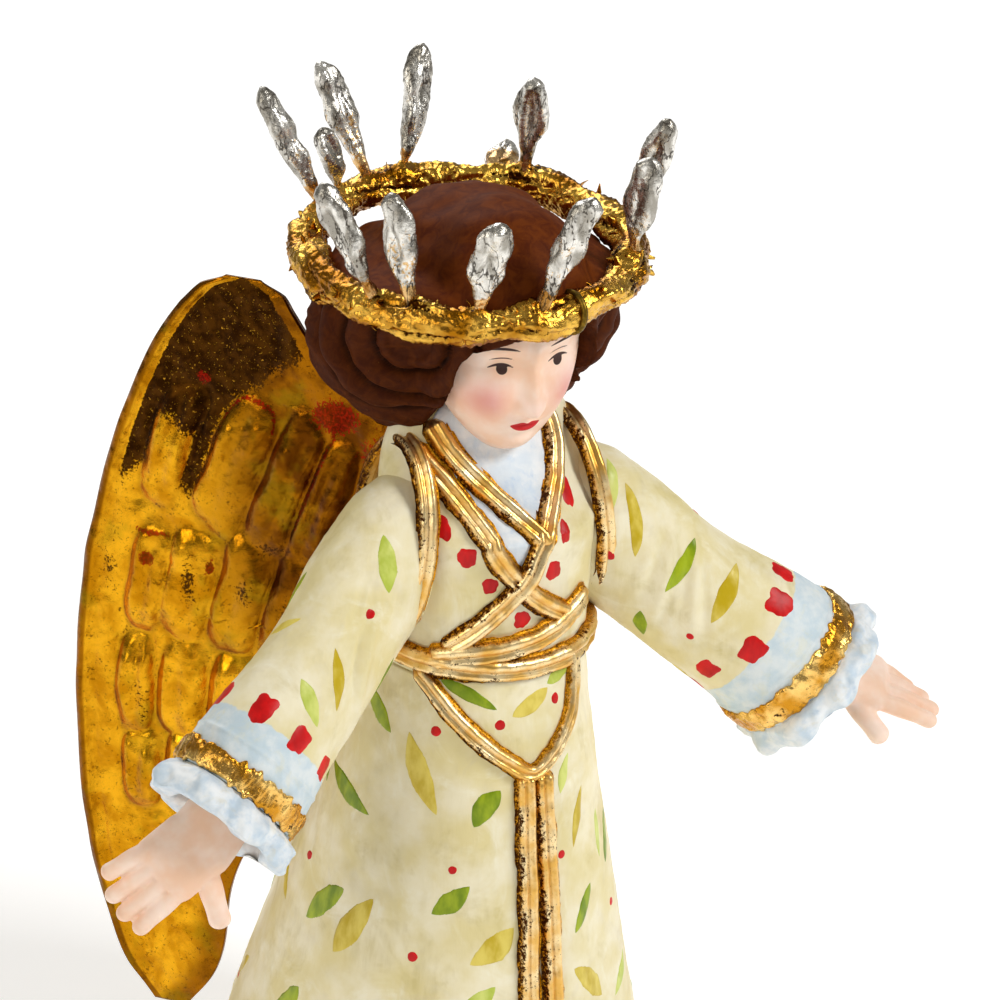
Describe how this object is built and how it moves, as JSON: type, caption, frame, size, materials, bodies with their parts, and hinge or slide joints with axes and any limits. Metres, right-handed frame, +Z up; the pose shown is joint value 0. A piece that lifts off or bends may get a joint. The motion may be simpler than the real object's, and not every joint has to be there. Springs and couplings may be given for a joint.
{
  "type": "nativity angel figurine",
  "caption": "Hand-painted angel with bowed head and spread arms in a corded gown, with gilded embossed wings and a gilded ring crown of silver rays.",
  "frame": {"origin": "centre of the felt's underside, below the middle of the hem", "axes": "+Z up, -Y the way the figure faces, +X its left-hand side"},
  "size_m": [0.2244, 0.1417, 0.3003],
  "materials": {
    "gown": "brushed cream paint with leaf strokes and red dots",
    "pale_blue": "matte pale blue paint",
    "skin": "matte pale pink paint",
    "hair": "matte dark brown paint",
    "gold_leaf": "worn gold leaf over dark size",
    "silver_leaf": "crinkled silver leaf",
    "dowel": "plain",
    "core": "plain cast resin",
    "felt": "soft felt"
  },
  "bodies": {
    "root": {"felt_pad": "felt", "base_plate": "core", "skirt": "gown", "waist_dowel": "dowel", "bodice": "gown", "chemise_yoke": "pale_blue", "neck_dowel": "dowel", "head": "skin", "hair": "hair", "crown_ring": "gold_leaf", "crown_wire_tie": "gold_leaf", "crown_ray_01": "silver_leaf", "crown_ray_02": "silver_leaf", "crown_ray_03": "silver_leaf", "crown_ray_04": "silver_leaf", "crown_ray_05": "silver_leaf", "crown_ray_06": "silver_leaf", "crown_ray_07": "silver_leaf", "crown_ray_08": "silver_leaf", "crown_ray_09": "silver_leaf", "crown_ray_10": "silver_leaf", "crown_ray_11": "silver_leaf", "crown_ray_12": "silver_leaf", "waist_cord": "gold_leaf", "waist_cord_upper": "gold_leaf", "cross_cord_left": "gold_leaf", "cross_cord_right_upper": "gold_leaf", "cross_cord_right_lower": "gold_leaf", "neckline_cord": "gold_leaf", "hip_cord": "gold_leaf", "sash_cord_left": "gold_leaf", "sash_cord_right": "gold_leaf", "wing_left": "gold_leaf", "arm_dowel_left": "dowel", "sleeve_left": "gown", "armhole_cord_left": "gold_leaf", "cuff_braid_left": "gold_leaf", "cuff_ruffle_left": "pale_blue", "hand_left": "skin", "wing_right": "gold_leaf", "arm_dowel_right": "dowel", "sleeve_right": "gown", "armhole_cord_right": "gold_leaf", "cuff_braid_right": "gold_leaf", "cuff_ruffle_right": "pale_blue", "hand_right": "skin"}
  },
  "joints": []
}
